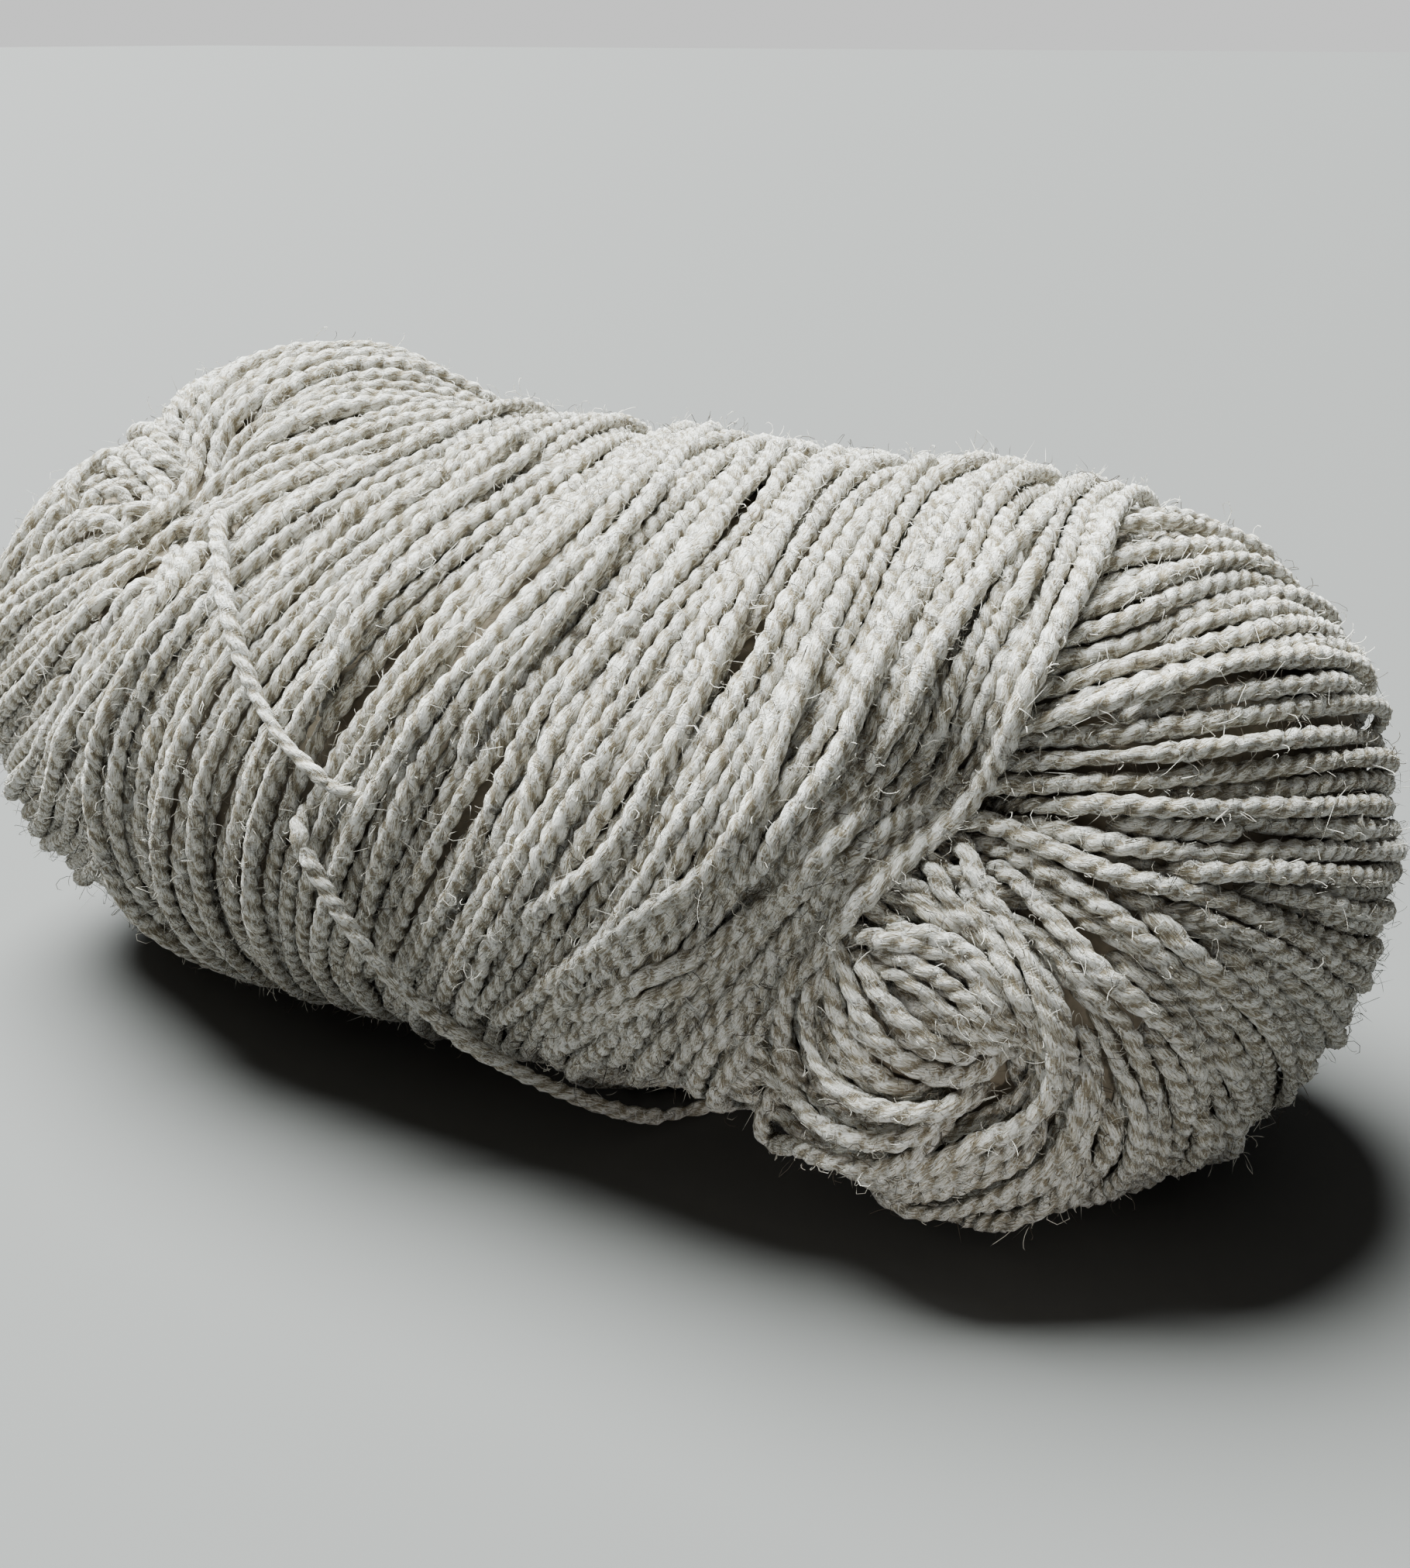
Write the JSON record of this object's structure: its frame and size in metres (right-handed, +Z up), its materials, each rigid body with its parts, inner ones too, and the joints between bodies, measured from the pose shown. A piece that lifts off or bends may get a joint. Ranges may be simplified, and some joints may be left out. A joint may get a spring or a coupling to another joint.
{
  "type": "skein of yarn",
  "caption": "Machine-wound skein of two-ply wool yarn lying on its side, with a fan-shaped mouth at each end, slanting binding turns and a loose outer end crossing them",
  "frame": {"origin": "centre of the skein's footprint, on the surface that it lies on", "axes": "+X along the skein towards the end whose mouth faces the front, -Y the front that the picture shows, +Z up"},
  "size_m": [0.191, 0.1016, 0.0823],
  "materials": {
    "wound_wool": "undyed oatmeal two-ply wool yarn, woolly and matt with a short halo of fibre",
    "loose_wool": "one strand of the same two-ply wool yarn"
  },
  "bodies": {
    "root": {"skein": "wound_wool", "outer_end_upper": "loose_wool", "outer_end_lower": "loose_wool"}
  },
  "joints": []
}
